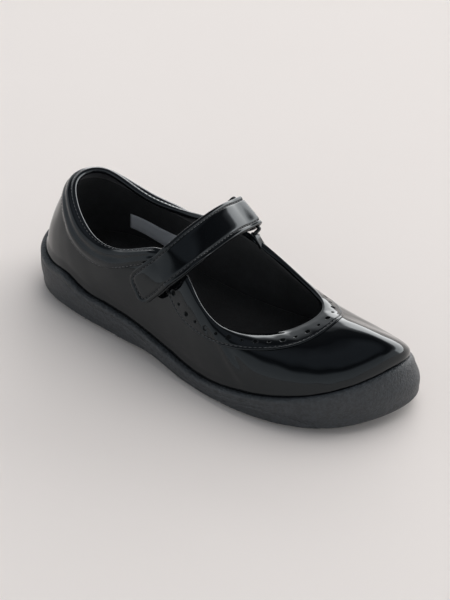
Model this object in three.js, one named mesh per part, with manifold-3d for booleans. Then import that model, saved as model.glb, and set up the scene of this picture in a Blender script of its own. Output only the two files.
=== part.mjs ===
// Child's mary jane shoe for the right foot, standing empty on its sole.
// Millimetres. +X points to the toe, +Y to the inner (medial) side, +Z up.
import * as THREE from "three";
import { mergeVertices } from "three/addons/utils/BufferGeometryUtils.js";
import Module from "manifold-3d";

const wasm = await Module();
wasm.setup();

// ---------------------------------------------------------------- driving sizes
const GAP = 0.3;                 // between pieces that meet
const WALL = 2.0;                // leather and lining of the upper together
const RIM_WALL = 3.2;            // the cupsole's wall round the upper
const FEATHER = RIM_WALL + GAP;  // how far the upper's foot stands inside the sole's edge
const INSOLE_THICK = 3.0;
const HEEL_FLOOR = 10.0;         // sole thickness under the heel
const BALL_FLOOR = 5.0;          // and under the ball
const FLOOR_FROM = -62;          // the floor slopes down from here ...
const FLOOR_TO = 18;             // ... to here
const TOE_SPRING = 5.0;          // lift of the sole's tip
const SPRING_FROM = 61;          // the forefoot is flat as far as here
const SPRING_RUN = 47;
const HEEL_LIFT = 1.2;           // rounding of the heel's back edge
const HEEL_FLAT_TO = -95;
const HEEL_LIFT_RUN = 15;
const ARCH_RISE = 2.0;           // hollow under the waist
const ARCH_FROM = -40;
const ARCH_TO = 6;
const LEAN_FROM = 0.3;           // share of the wall's height where its lean begins
const TREAD_DEPTH = 1.8;
const TREAD_WIDTH = 2.4;
const TREAD_MARGIN = 10;         // plain border round the tread, from the sole's edge
const TREAD_OVERRUN = 2;         // grooves that run out through the edge go this far past it

const RIM_ROUND = 0.4;           // rounding of the rim's inner edge: in, ...
const RIM_DIP = 0.3;             // ... down to its start, ...
const RIM_THROAT = 1.0;          // ... and down to its end
const COLLAR_GAP = 0.45;         // the padded collar lies on the curved wall with this gap
const COLLAR_PUFF = 1.5;         // how far the padded collar stands proud in its middle
const COLLAR_EDGE = 0.7;         // and at its seams
const COLLAR_FROM = -3.35;       // just short of the strap on the inner side, in rows ...
const COLLAR_TO = 3.28;          // ... of the last, and on the outer side
const COLLAR_LOW = 0.56;         // its lower and upper edge, as shares of the upper's height
const COLLAR_HIGH = 0.985;
const COLLAR_TAPER = 8;          // it thins out over one part in this many at each end
const STRAP_WIDTH = 17.0;
const STRAP_THICK = 1.8;
const STRAP_CORNER = 5;          // rounded corners at the free end
const FOLD_BORE = 2.6;           // clear height inside the strap's fold
const FOLD_OPENS = 9;            // the layers part over this length before the fold
const KEEPER_THICK = 1.6;
const KEEPER_WIDTH = 4.5;        // of its legs
const KEEPER_BAR = 1.4;          // height of the bar inside the fold
const KEEPER_DROP = 4.2;         // the legs leave the bar square to the strap, this far
const KEEPER_SIDE = 0.4;         // clearance beside the strap
const KEEPER_BEND = 1.2;         // corners between the bar and its legs
const KEEPER_CLEAR = 2.2;        // the legs' middle lines end this far above the topline
const KEEPER_FRONT_ROW = 12.46;  // where the legs meet the topline, in rows of the last
const KEEPER_REAR_ROW = 13.4;

const HALF = 40;                 // steps along each side of the shoe
const RISE_STEPS = 12;           // steps from the sole's rim up to the topline
const CROSS = 4;                 // steps across a sole or insole

// ---------------------------------------------------------------- the last
// One row for each section, from the back of the heel along the outer side to the
// toe and home along the inner side. rim: top outer edge of the cupsole. top: topline.
// rise and bulge: how the wall leaves the rim, up and out. back and lift: how it
// arrives at the topline, from outside and from above. lean: how far the sole's wall
// curls in over the toe, which carries the upper's foot in with it.
const LAST = table(
  ["at",                 "rimX", "rimY", "rimZ", "topX", "topY", "topZ", "rise", "bulge", "back", "lift", "lean"],
  [
    ["heel back",          -109.5,   0.0,  21.7,  -92.0,    0.5,   58.5,     16,    -1.5,      6,     -2,  0.0],
    ["outer heel corner",  -100.0, -23.2,  21.4,  -83.3,  -13.9,   56.7,     16,    -0.5,      6,     -1,  0.0],
    ["outer heel",          -75.4, -32.8,  19.5,  -64.8,  -24.2,   49.3,     14,     1.5,      8,      0,  0.0],
    ["outer waist",         -45.1, -34.3,  15.6,  -41.9,  -25.6,   48.2,     14,     2.5,      8,      0,  0.0],
    ["outer strap",         -12.3, -37.2,  12.0,  -15.5,  -21.1,   56.8,     16,     3.0,      8,     -3,  0.0],
    ["outer instep",         18.3, -41.4,   9.8,    6.4,  -28.3,   46.6,     14,     4.0,      8,      0,  0.0],
    ["outer ball",           48.2, -41.0,  12.7,   24.4,  -29.5,   35.6,     12,     4.0,     12,      4,  0.0],
    ["outer toes",           73.9, -33.8,  18.9,   42.5,  -18.1,   33.7,     12,     4.0,     16,      5,  0.3],
    ["outer toe corner",     93.6, -19.7,  25.2,   51.8,   -5.3,   35.8,     12,     3.8,     24,      5,  1.4],
    ["toe tip",             105.7,   4.3,  28.8,   54.1,    5.2,   37.5,     13,     5.0,     29,      6,  3.2],
    ["inner toe corner",     98.9,  27.0,  24.0,   48.8,   14.4,   37.6,      8,     5.5,     25,   -7.5,  3.8],
    ["inner ball",           67.4,  40.0,  16.0,   34.1,   21.4,   38.3,      6,     1.0,      6,     -9,  1.5],
    ["inner instep",         34.9,  38.7,  15.9,   11.8,   25.3,   42.7,      6,     2.5,      7,   -8.5,  0.2],
    ["inner strap",           2.1,  32.9,  15.6,  -12.1,   22.4,   50.5,     14,     4.0,      8,     -3,  0.0],
    ["inner waist",         -34.9,  29.7,  16.5,  -41.7,   23.5,   44.4,     14,     3.0,      8,      0,  0.0],
    ["inner heel",          -71.8,  31.5,  18.2,  -67.4,   20.5,   44.9,     14,     2.5,      8,      0,  0.0],
    ["inner heel corner",   -98.9,  21.9,  20.9,  -86.5,   14.6,   55.1,     16,    -0.5,      6,     -1,  0.0],
  ]);
const TOE_ROW = LAST.findIndex(row => row.at === "toe tip");
const TOE_U = TOE_ROW / LAST.length;

// The rim's line rises and dips a little along both sides: height of each wave at a row
// of the last on the outer side, and at the matching row on the inner side.
const RIM_WAVES = table(
  ["at",            "row", "height", "wide"],
  [
    ["heel back",    0.00,   2.4,     0.85],
    ["heel crest",   1.92,   2.0,     0.30],
    ["heel dip",     2.50,  -1.0,     0.28],
    ["waist crest",  3.55,   1.1,     0.45],
    ["instep dip",   4.95,  -1.0,     0.50],
  ]);

// The cupsole's wall from the ground up to its rim: up is a share of the wall's height.
const SOLE_WALL = table(
  ["at",           "inset", "up"],
  [
    ["tread edge",     5.0, 0.00],
    ["edge rounding",  2.2, 0.07],
    ["lower wall",     0.9, 0.22],
    ["mid wall",       0.1, 0.50],
    ["upper wall",     0.0, 0.80],
    ["rim outer",      0.8, 0.96],
    ["rim crown",      1.9, 1.00],
  ]);

// Middle line of the double strap, from its rounded end over the instep to the fold.
// roll turns the strap about that line, front edge down.
const STRAP = table(
  ["at",             "x",   "y",  "z", "roll"],
  [
    ["rounded end",   -24.0, -36.0, 37.4,   -4],
    ["on the side",   -12.1, -31.3, 51.0,   -3],
    ["over the edge",  -6.6, -24.1, 58.4,   18],
    ["outer instep",   -4.9,  -8.7, 62.2,   38],
    ["inner instep",   -4.9,  10.3, 62.5,   37],
    ["fold",           -7.1,  26.2, 57.6,   31],
  ]);

// Grooves across the tread, and whether they run out through the sole's edge.
const TREAD = table(
  ["x",  "out"],
  [
    [-88, false], [-80, false], [-72, false], [-64, true], [-56, true], [-48, false],
    [14, false], [22, false], [30, false], [38, false], [46, false], [54, false],
    [62, true], [70, true], [78, true],
  ]);

// ---------------------------------------------------------------- small tools
function table(columns, rows) {
  return rows.map(row => Object.fromEntries(columns.map((name, i) => [name, row[i]])));
}

function smooth(t) {
  const s = Math.min(1, Math.max(0, t));
  return s * s * (3 - 2 * s);
}

// Smooth closed curve through one column of the LAST table, as a function of u, 0 to 1.
function loopOf(column) {
  const values = LAST.map(row => row[column]);
  const n = values.length;
  let control = [...values];
  for (let round = 0; round < 60; round++) {
    control = control.map((_, i) =>
      (6 * values[i] - control[(i + n - 1) % n] - control[(i + 1) % n]) / 4);
  }
  return u => {
    const t = (((u % 1) + 1) % 1) * n;
    const i = Math.floor(t);
    const f = t - i;
    const weights = [(1 - f) ** 3, 3 * f ** 3 - 6 * f ** 2 + 4,
      -3 * f ** 3 + 3 * f ** 2 + 3 * f + 1, f ** 3];
    return weights.reduce((sum, w, k) => sum + w * control[(i + k - 1 + n) % n] / 6, 0);
  };
}

// u at step k of a ring: HALF steps from heel to toe outside, HALF back inside.
function ringU(k) {
  const step = ((k % (2 * HALF)) + 2 * HALF) % (2 * HALF);
  return step <= HALF ? TOE_U * step / HALF
    : TOE_U + (1 - TOE_U) * (step - HALF) / HALF;
}

// ---------------------------------------------------------------- forms of the shoe
const rimX = loopOf("rimX"), rimY = loopOf("rimY"), rimLevel = loopOf("rimZ");
const topX = loopOf("topX"), topY = loopOf("topY"), topZ = loopOf("topZ");
const rise = loopOf("rise"), bulge = loopOf("bulge");
const back = loopOf("back"), lift = loopOf("lift");
const lean = loopOf("lean");

function rimZ(u) {
  const row = u * LAST.length;
  const side = Math.min(row, LAST.length - row);
  return RIM_WAVES.reduce(
    (z, wave) => z + wave.height * Math.exp(-(((side - wave.row) / wave.wide) ** 2)),
    rimLevel(u));
}

// Outward direction of the sole's outline, in plan.
function outward(u) {
  const h = 0.001;
  const dx = rimX(u + h) - rimX(u - h);
  const dy = rimY(u + h) - rimY(u - h);
  return new THREE.Vector3(dy, -dx, 0).normalize();
}

// A point inside the sole's outline; share is how much of the wall's lean it has.
function outlinePoint(u, inset, z, share = 1) {
  const n = outward(u);
  const shift = inset + share * Math.max(0, lean(u));
  return new THREE.Vector3(rimX(u) - n.x * shift, rimY(u) - n.y * shift, z);
}

// Underside of the sole: flat at heel and forefoot, hollow at the waist, toe sprung.
function groundZ(x) {
  const toe = TOE_SPRING * Math.max(0, (x - SPRING_FROM) / SPRING_RUN) ** 2;
  const heel = HEEL_LIFT * Math.max(0, (HEEL_FLAT_TO - x) / HEEL_LIFT_RUN) ** 2;
  const t = (x - ARCH_FROM) / (ARCH_TO - ARCH_FROM);
  const arch = t > 0 && t < 1 ? ARCH_RISE * Math.sin(Math.PI * t) ** 2 : 0;
  return toe + heel + arch;
}

// Floor of the cupsole, which carries the insole.
function floorZ(x) {
  const slope = smooth((x - FLOOR_FROM) / (FLOOR_TO - FLOOR_FROM));
  const toe = TOE_SPRING * Math.max(0, (x - SPRING_FROM) / SPRING_RUN) ** 2;
  return HEEL_FLOOR + (BALL_FLOOR - HEEL_FLOOR) * slope + toe;
}

// Outer face of the upper: v 0 at the sole's rim, 1 at the topline.
function upperPoint(u, v) {
  const n = outward(u);
  const foot = outlinePoint(u, FEATHER, rimZ(u));
  const top = new THREE.Vector3(topX(u), topY(u), topZ(u));
  const p1 = foot.clone().addScaledVector(n, bulge(u));
  p1.z += rise(u);
  const fromTop = new THREE.Vector3(foot.x - top.x, foot.y - top.y, 0).normalize();
  const p2 = top.clone().addScaledVector(fromTop, back(u));
  p2.z += lift(u);
  return new THREE.CubicBezierCurve3(foot, p1, p2, top).getPoint(v);
}

function upperNormal(u, v) {
  const h = 0.002;
  const low = Math.max(0, v - h);
  const high = Math.min(1, v + h);
  const along = upperPoint(u + h, v).sub(upperPoint(u - h, v));
  const up = upperPoint(u, high).sub(upperPoint(u, low));
  return along.cross(up).normalize();
}

// ---------------------------------------------------------------- mesh building
class Builder {
  constructor() {
    this.points = [];
    this.faces = [];
  }
  add(p) {
    this.points.push(p.x, p.y, p.z);
    return this.points.length / 3 - 1;
  }
  quad(a, b, c, d) {
    if (a !== b && b !== c && a !== c) this.faces.push(a, b, c);
    if (a !== c && c !== d && a !== d) this.faces.push(a, c, d);
  }
  // Faces between neighbouring rows of point numbers. Rows may close on themselves.
  skin(rows, closed) {
    for (let j = 0; j + 1 < rows.length; j++) {
      const n = rows[j].length;
      for (let i = 0; i < (closed ? n : n - 1); i++) {
        const next = (i + 1) % n;
        this.quad(rows[j][i], rows[j][next], rows[j + 1][next], rows[j + 1][i]);
      }
    }
  }
  ring(pointAt) {
    return Array.from({ length: 2 * HALF }, (_, k) => this.add(pointAt(ringU(k))));
  }
  // A plate across a ring, from each outer-side point to the inner-side one opposite.
  plate(ring, zAt, faceUp) {
    const at = i => new THREE.Vector3(...this.points.slice(3 * i, 3 * i + 3));
    const strips = [];
    for (let k = 0; k <= HALF; k++) {
      const outer = ring[k];
      const inner = ring[(2 * HALF - k) % (2 * HALF)];
      const strip = [outer];
      for (let j = 1; j < CROSS; j++) {
        if (outer === inner) {
          strip.push(outer);
          continue;
        }
        const p = at(outer).lerp(at(inner), j / CROSS);
        p.z = zAt(p.x);
        strip.push(this.add(p));
      }
      strip.push(inner);
      strips.push(strip);
    }
    if (faceUp) strips.reverse();
    this.skin(strips, false);
  }
  geometry() {
    const geometry = new THREE.BufferGeometry();
    geometry.setAttribute("position", new THREE.Float32BufferAttribute(this.points, 3));
    geometry.setIndex(this.faces);
    return geometry;
  }
}

function solidOf(geometry) {
  const plain = geometry.clone();
  plain.deleteAttribute("normal");
  plain.deleteAttribute("uv");
  const merged = mergeVertices(plain, 1e-4);
  return new wasm.Manifold(new wasm.Mesh({
    numProp: 3,
    vertProperties: new Float32Array(merged.attributes.position.array),
    triVerts: new Uint32Array(merged.index.array),
  }));
}

function geometryOf(solid) {
  const mesh = solid.getMesh();
  const geometry = new THREE.BufferGeometry();
  geometry.setAttribute("position", new THREE.Float32BufferAttribute(mesh.vertProperties, 3));
  geometry.setIndex([...mesh.triVerts]);
  return geometry;
}

// Closed sheet of a grid of outer points and the matching inner points.
function sheet(outer, inner) {
  const build = new Builder();
  const a = outer.map(row => row.map(p => build.add(p)));
  const b = inner.map(row => row.map(p => build.add(p)));
  const last = a.length - 1;
  const end = a[0].length - 1;
  build.skin(a, false);
  build.skin([...b].reverse(), false);
  build.skin([b[0], a[0]], false);
  build.skin([a[last], b[last]], false);
  build.skin([a.map(row => row[0]), b.map(row => row[0])], false);
  build.skin([a.map(row => row[end]).reverse(), b.map(row => row[end]).reverse()], false);
  return build.geometry();
}

// ---------------------------------------------------------------- pieces
// Cupsole: tread, wall, rim and the hollow that takes the upper and the insole.
function outsole() {
  const build = new Builder();
  const wall = SOLE_WALL.map(row => build.ring(u => {
    const edge = outlinePoint(u, row.inset, 0, smooth((row.up - LEAN_FROM) / (1 - LEAN_FROM)));
    const ground = groundZ(edge.x);
    edge.z = ground + (rimZ(u) - ground) * row.up;
    return edge;
  }));
  const rimInner = build.ring(u => outlinePoint(u, RIM_WALL - RIM_ROUND, rimZ(u) - RIM_DIP));
  const throat = build.ring(u => outlinePoint(u, RIM_WALL, rimZ(u) - RIM_THROAT));
  const floor = build.ring(u => {
    const edge = outlinePoint(u, RIM_WALL, 0);
    edge.z = floorZ(edge.x);
    return edge;
  });
  build.skin([...wall, rimInner, throat, floor], true);
  build.plate(wall[0], groundZ, false);
  build.plate(floor, floorZ, true);
  let solid = solidOf(build.geometry());
  for (const { x, out } of TREAD) solid = solid.subtract(solidOf(grooveAt(x, out)));
  return geometryOf(solid);
}

// Where the outline crosses a given x, on the outer and the inner side.
function outlineSides(x) {
  const sideAt = (from, to) => {
    let near = from;
    let far = to;
    for (let i = 0; i < 40; i++) {
      const mid = (near + far) / 2;
      if ((rimX(mid) < x) === (rimX(from) < rimX(to))) near = mid;
      else far = mid;
    }
    return rimY((near + far) / 2);
  };
  return [sideAt(0, TOE_U), sideAt(1, TOE_U)];
}

function grooveAt(x, out) {
  const [outer, inner] = outlineSides(x);
  const margin = out ? -TREAD_OVERRUN : TREAD_MARGIN;
  const length = inner - outer - 2 * margin;
  const groove = new THREE.BoxGeometry(TREAD_WIDTH, length, 2 * TREAD_DEPTH);
  groove.translate(x, (outer + inner) / 2, groundZ(x));
  return groove;
}

function insole() {
  const inset = FEATHER + WALL + GAP;
  const edgeAt = (u, height) => {
    const edge = outlinePoint(u, inset, 0);
    edge.z = floorZ(edge.x) + height;
    return edge;
  };
  const build = new Builder();
  const under = build.ring(u => edgeAt(u, GAP));
  const over = build.ring(u => edgeAt(u, GAP + INSOLE_THICK));
  build.skin([under, over], true);
  build.plate(under, x => floorZ(x) + GAP, false);
  build.plate(over, x => floorZ(x) + GAP + INSOLE_THICK, true);
  return build.geometry();
}

// Upper: one hollow wall from the floor of the cupsole to the topline.
function upper() {
  const build = new Builder();
  const footAt = (u, inset) => {
    const edge = outlinePoint(u, inset, 0);
    edge.z = floorZ(edge.x) + GAP;
    return edge;
  };
  const outer = [build.ring(u => footAt(u, FEATHER))];
  const inner = [build.ring(u => footAt(u, FEATHER + WALL))];
  for (let j = 0; j <= RISE_STEPS; j++) {
    const v = j / RISE_STEPS;
    outer.push(build.ring(u => upperPoint(u, v)));
    inner.push(build.ring(u => upperPoint(u, v).addScaledVector(upperNormal(u, v), -WALL)));
  }
  build.skin([inner[0], ...outer, inner[RISE_STEPS + 1]], true);
  build.skin([...inner].reverse(), true);
  return build.geometry();
}

// Padded collar: lies on the upper round the heel, from strap to strap.
function collarPanel() {
  const fromU = COLLAR_FROM / LAST.length;
  const toU = COLLAR_TO / LAST.length;
  const along = 36;
  const up = 5;
  const grid = height => Array.from({ length: up + 1 }, (_, j) =>
    Array.from({ length: along + 1 }, (_, i) => {
      const u = fromU + (toU - fromU) * i / along;
      const v = COLLAR_LOW + (COLLAR_HIGH - COLLAR_LOW) * j / up;
      return upperPoint(u, v).addScaledVector(upperNormal(u, v), height(i / along, j / up));
    }));
  const taper = a => Math.min(1, COLLAR_TAPER * a, COLLAR_TAPER * (1 - a));
  const puff = (a, b) => COLLAR_GAP + COLLAR_EDGE
    + (COLLAR_PUFF - COLLAR_EDGE) * Math.sin(Math.PI * b) * taper(a);
  return sheet(grid(puff), grid(() => COLLAR_GAP));
}

// ---- strap
function strapFrame(t) {
  const curve = new THREE.CatmullRomCurve3(
    STRAP.map(row => new THREE.Vector3(row.x, row.y, row.z)), false, "centripetal");
  const along = curve.getTangent(t);
  const place = t * (STRAP.length - 1);
  const i = Math.min(STRAP.length - 2, Math.floor(place));
  const roll = THREE.MathUtils.degToRad(
    THREE.MathUtils.lerp(STRAP[i].roll, STRAP[i + 1].roll, smooth(place - i)));
  const across = new THREE.Vector3(1, 0, 0);
  across.addScaledVector(along, -across.dot(along)).normalize();
  across.applyAxisAngle(along, roll);
  const normal = across.clone().cross(along).normalize();
  return { centre: curve.getPoint(t), along, across, normal, length: curve.getLength() };
}

// Half the distance between the middles of the two layers.
function layerOffset(t, length) {
  const shut = (STRAP_THICK + GAP) / 2;
  const open = (STRAP_THICK + FOLD_BORE) / 2;
  return shut + (open - shut) * smooth(1 - (1 - t) * length / FOLD_OPENS);
}

// Ribbon with a flat section swept through frames of centre, across and normal.
function ribbon(frames, thick) {
  const build = new Builder();
  const rows = frames.map(({ centre, across, normal, half }) => {
    const corner = (side, level) => build.add(centre.clone()
      .addScaledVector(across, side * half).addScaledVector(normal, level * thick / 2));
    return [corner(-1, 1), corner(0, 1), corner(1, 1), corner(1, -1), corner(0, -1), corner(-1, -1)];
  });
  build.skin(rows, true);
  const first = rows[0];
  const last = rows[rows.length - 1];
  build.quad(first[0], first[5], first[4], first[1]);
  build.quad(first[1], first[4], first[3], first[2]);
  build.quad(last[0], last[1], last[4], last[5]);
  build.quad(last[1], last[2], last[3], last[4]);
  return build.geometry();
}

// Half width near the free end, where the corners are rounded.
function halfWidth(distance) {
  if (distance >= STRAP_CORNER) return STRAP_WIDTH / 2;
  const dip = STRAP_CORNER - distance;
  return STRAP_WIDTH / 2 - STRAP_CORNER + Math.sqrt(STRAP_CORNER ** 2 - dip ** 2);
}

// Double strap: top layer from the rounded end to the fold, and home underneath.
function strap() {
  const steps = 30;
  const foldSteps = 8;
  const cornerSteps = 4;
  const underEnd = 0.1;            // the lower layer ends a little earlier
  const frames = [];
  const layer = (t, side) => {
    const f = strapFrame(t);
    const centre = f.centre.clone().addScaledVector(f.normal, side * layerOffset(t, f.length));
    return { centre, across: f.across, normal: f.normal.clone().multiplyScalar(side),
      half: halfWidth(t * f.length) };
  };
  const cornerT = STRAP_CORNER / strapFrame(0).length;
  for (let i = 0; i < cornerSteps; i++) {
    frames.push(layer(cornerT * (1 - Math.cos(Math.PI / 2 * i / cornerSteps)), 1));
  }
  for (let i = 0; i <= steps; i++) frames.push(layer(cornerT + (1 - cornerT) * i / steps, 1));
  const tip = strapFrame(1);
  for (let i = 1; i < foldSteps; i++) {
    const turn = Math.PI * i / foldSteps;
    const normal = tip.normal.clone().multiplyScalar(Math.cos(turn))
      .addScaledVector(tip.along, Math.sin(turn));
    const centre = tip.centre.clone().addScaledVector(normal, layerOffset(1, tip.length));
    frames.push({ centre, across: tip.across, normal, half: STRAP_WIDTH / 2 });
  }
  for (let i = steps; i >= 0; i--) {
    const frame = layer(underEnd + (1 - underEnd) * i / steps, -1);
    frame.half = STRAP_WIDTH / 2;
    frames.push(frame);
  }
  return ribbon(frames, STRAP_THICK);
}

// Keeper: a bar through the strap's fold, with a leg down to the topline at each end.
function strapKeeper() {
  const tip = strapFrame(1);
  const reach = STRAP_WIDTH / 2 + GAP + KEEPER_THICK / 2 + KEEPER_SIDE;
  const bend = KEEPER_BEND;
  const path = [];
  for (const side of [-1, 1]) {
    const corner = tip.centre.clone().addScaledVector(tip.across, side * reach);
    const inside = corner.clone().addScaledVector(tip.across, -side * bend);
    const u = (side < 0 ? KEEPER_REAR_ROW : KEEPER_FRONT_ROW) / LAST.length;
    const foot = upperPoint(u, 1).addScaledVector(outward(u), -WALL / 2);
    foot.z += KEEPER_CLEAR;
    const below = corner.clone().addScaledVector(tip.normal, -KEEPER_DROP);
    path.push(...(side < 0 ? [foot, below, corner, inside] : [inside, corner, below, foot]));
  }
  const frames = path.map((centre, i) => {
    const ahead = path[Math.min(path.length - 1, i + 1)];
    const behind = path[Math.max(0, i - 1)];
    const along = ahead.clone().sub(behind).normalize();
    const across = tip.along.clone();
    across.addScaledVector(along, -across.dot(along)).normalize();
    const bar = i > 1 && i < path.length - 2;    // foot and drop at each end are the legs
    return { centre, across, normal: across.clone().cross(along).normalize(),
      half: (bar ? KEEPER_BAR : KEEPER_WIDTH) / 2 };
  });
  return ribbon(frames, KEEPER_THICK);
}

// ---------------------------------------------------------------- assembly
const finishes = {
  rubber: { color: 0x26292c, roughness: 0.75, metalness: 0 },
  patent: { color: 0x0b0c0f, roughness: 0.12, metalness: 0 },
  lining: { color: 0x0e0e10, roughness: 0.9, metalness: 0 },
};
const shoe = new THREE.Group();
function place(name, geometry, finish) {
  const mesh = new THREE.Mesh(geometry, new THREE.MeshStandardMaterial(finishes[finish]));
  mesh.name = name;
  mesh.geometry.computeVertexNormals();
  shoe.add(mesh);
}
place("outsole", outsole(), "rubber");
place("insole", insole(), "lining");
place("upper", upper(), "patent");
place("collar_panel", collarPanel(), "patent");
place("strap", strap(), "patent");
place("strap_keeper", strapKeeper(), "patent");

// The origin is under the middle of the whole shoe, on the ground.
const box = new THREE.Box3().setFromObject(shoe);
const middle = box.getCenter(new THREE.Vector3());
for (const mesh of shoe.children) mesh.position.set(-middle.x, -middle.y, -box.min.z);

export default shoe;
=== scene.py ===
"""Child's mary jane shoe, right foot: the looks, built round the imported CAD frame.

Tables are in millimetres, in the pattern's own frame: +X to the toe, +Y to the inner side.
"""
import math

import bmesh
import bpy
import numpy as np
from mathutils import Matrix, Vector


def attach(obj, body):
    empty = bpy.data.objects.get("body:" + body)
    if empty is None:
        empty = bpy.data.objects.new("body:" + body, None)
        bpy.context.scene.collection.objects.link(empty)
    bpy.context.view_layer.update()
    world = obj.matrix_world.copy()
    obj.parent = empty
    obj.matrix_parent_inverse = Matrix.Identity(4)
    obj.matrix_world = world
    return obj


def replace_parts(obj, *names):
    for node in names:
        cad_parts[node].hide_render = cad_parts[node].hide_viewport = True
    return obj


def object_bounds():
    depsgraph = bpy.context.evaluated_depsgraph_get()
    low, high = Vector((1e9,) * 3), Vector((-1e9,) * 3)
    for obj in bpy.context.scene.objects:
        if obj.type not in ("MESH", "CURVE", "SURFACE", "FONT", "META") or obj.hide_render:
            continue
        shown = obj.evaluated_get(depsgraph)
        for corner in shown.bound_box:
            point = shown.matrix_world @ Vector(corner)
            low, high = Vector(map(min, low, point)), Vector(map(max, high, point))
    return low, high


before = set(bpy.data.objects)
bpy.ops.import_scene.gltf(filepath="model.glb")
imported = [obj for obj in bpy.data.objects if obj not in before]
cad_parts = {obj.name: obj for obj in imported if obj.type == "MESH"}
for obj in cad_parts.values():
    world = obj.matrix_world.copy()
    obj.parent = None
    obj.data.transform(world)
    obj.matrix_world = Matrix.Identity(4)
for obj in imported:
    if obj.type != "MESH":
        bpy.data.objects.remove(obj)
cad_low, cad_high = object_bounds()
MM = 0.001

# ---------------------------------------------------------------- driving sizes
GAP = 0.3
WALL = 2.0                  # leather and lining together
LEATHER = 1.3               # the leather's own thickness
RIM_WALL = 3.2
FEATHER = RIM_WALL + GAP    # the upper's foot stands this far inside the sole's edge
INSOLE_THICK = 3.0
HEEL_FLOOR, BALL_FLOOR = 10.0, 5.0
FLOOR_FROM, FLOOR_TO = -62, 18
TOE_SPRING, SPRING_FROM, SPRING_RUN = 5.0, 61, 47
HEEL_LIFT, HEEL_FLAT_TO, HEEL_LIFT_RUN = 1.2, -95, 15
ARCH_RISE, ARCH_FROM, ARCH_TO = 2.0, -40, 6
STRAP_WIDTH, STRAP_THICK, STRAP_CORNER = 17.0, 1.8, 5.0
FOLD_BORE, FOLD_OPENS = 2.6, 9.0
EDGE = WALL / 2             # radius of the rounded topline
HALF_TURN = np.pi * EDGE    # length of that rounding over the top
BAND_LIFT, TOP_LIFT = 0.60, 0.35   # thickness of the throat band, and at the topline
STITCH_PITCH, STITCH_LONG, STITCH_THICK = 2.3, 1.6, 0.42

# One row for each section, from the back of the heel along the outer side to the toe
# and home along the inner side: the sole's rim, the topline, and how the wall leaves
# the one (rise, bulge) and reaches the other (back, lift); lean: how far the sole's wall
# curls in over the toe.
LAST_COLUMNS = "rim_x rim_y rim_z top_x top_y top_z rise bulge back lift lean".split()
LAST = (   # name, then LAST_COLUMNS
    ("heel back",         -109.5,   0.0, 21.7, -92.0,   0.5, 58.5, 16, -1.5,  6, -2, 0.0),
    ("outer heel corner", -100.0, -23.2, 21.4, -83.3, -13.9, 56.7, 16, -0.5,  6, -1, 0.0),
    ("outer heel",         -75.4, -32.8, 19.5, -64.8, -24.2, 49.3, 14,  1.5,  8,  0, 0.0),
    ("outer waist",        -45.1, -34.3, 15.6, -41.9, -25.6, 48.2, 14,  2.5,  8,  0, 0.0),
    ("outer strap",        -12.3, -37.2, 12.0, -15.5, -21.1, 56.8, 16,  3.0,  8, -3, 0.0),
    ("outer instep",        18.3, -41.4,  9.8,   6.4, -28.3, 46.6, 14,  4.0,  8,  0, 0.0),
    ("outer ball",          48.2, -41.0, 12.7,  24.4, -29.5, 35.6, 12,  4.0, 12,  4, 0.0),
    ("outer toes",          73.9, -33.8, 18.9,  42.5, -18.1, 33.7, 12,  4.0, 16,  5, 0.3),
    ("outer toe corner",    93.6, -19.7, 25.2,  51.8,  -5.3, 35.8, 12,  3.8, 24,  5, 1.4),
    ("toe tip",            105.7,   4.3, 28.8,  54.1,   5.2, 37.5, 13,  5.0, 29,  6, 3.2),
    ("inner toe corner",    98.9,  27.0, 24.0,  48.8,  14.4, 37.6,  8,  5.5, 25, -7.5, 3.8),
    ("inner ball",          67.4,  40.0, 16.0,  34.1,  21.4, 38.3,  6,  1.0,  6, -9, 1.5),
    ("inner instep",        34.9,  38.7, 15.9,  11.8,  25.3, 42.7,  6,  2.5,  7, -8.5, 0.2),
    ("inner strap",          2.1,  32.9, 15.6, -12.1,  22.4, 50.5, 14,  4.0,  8, -3, 0.0),
    ("inner waist",        -34.9,  29.7, 16.5, -41.7,  23.5, 44.4, 14,  3.0,  8,  0, 0.0),
    ("inner heel",         -71.8,  31.5, 18.2, -67.4,  20.5, 44.9, 14,  2.5,  8,  0, 0.0),
    ("inner heel corner",  -98.9,  21.9, 20.9, -86.5,  14.6, 55.1, 16, -0.5,  6, -1, 0.0),
)
ROWS = len(LAST)
LEAN_FROM = 0.3             # share of the sole's wall below which it does not lean

# The rim rises and dips a little along both sides.
RIM_WAVES = (   # name, row on the outer side, height, width
    ("heel back",   0.00,  2.4, 0.85),
    ("heel crest",  1.92,  2.0, 0.30),
    ("heel dip",    2.50, -1.0, 0.28),
    ("waist crest", 3.55,  1.1, 0.45),
    ("instep dip",  4.95, -1.0, 0.50),
)

# The cupsole's wall: how far inside the outline, at a share of the wall's height.
SOLE_WALL = (   # up, inset
    (0.00, 5.0),
    (0.07, 2.2),
    (0.22, 0.9),
    (0.50, 0.1),
    (0.80, 0.0),
)

# Middle line of the double strap; roll turns it about that line, front edge down.
STRAP = (   # name, x, y, z, roll
    ("rounded end",   -24.0, -36.0, 37.4, -4),
    ("on the side",   -12.1, -31.3, 51.0, -3),
    ("over the edge",  -6.6, -24.1, 58.4, 18),
    ("outer instep",   -4.9,  -8.7, 62.2, 38),
    ("inner instep",   -4.9,  10.3, 62.5, 37),
    ("fold",           -7.1,  26.2, 57.6, 31),
)

# Throat band: how far its seam lies below the topline, at places in rows of LAST.
BAND = (   # row, width
    (4.10, 17.0),
    (4.35, 22.0),
    (4.60, 23.5),
    (4.90, 21.5),
    (5.40, 18.0),
    (6.15, 15.8),
    (7.00, 15.4),
    (8.00, 13.9),
    (9.00, 12.5),
    (9.70, 11.5),
    (10.6, 12.5),
    (11.6, 14.5),
    (12.4, 17.0),
    (12.8, 14.0),
)

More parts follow.
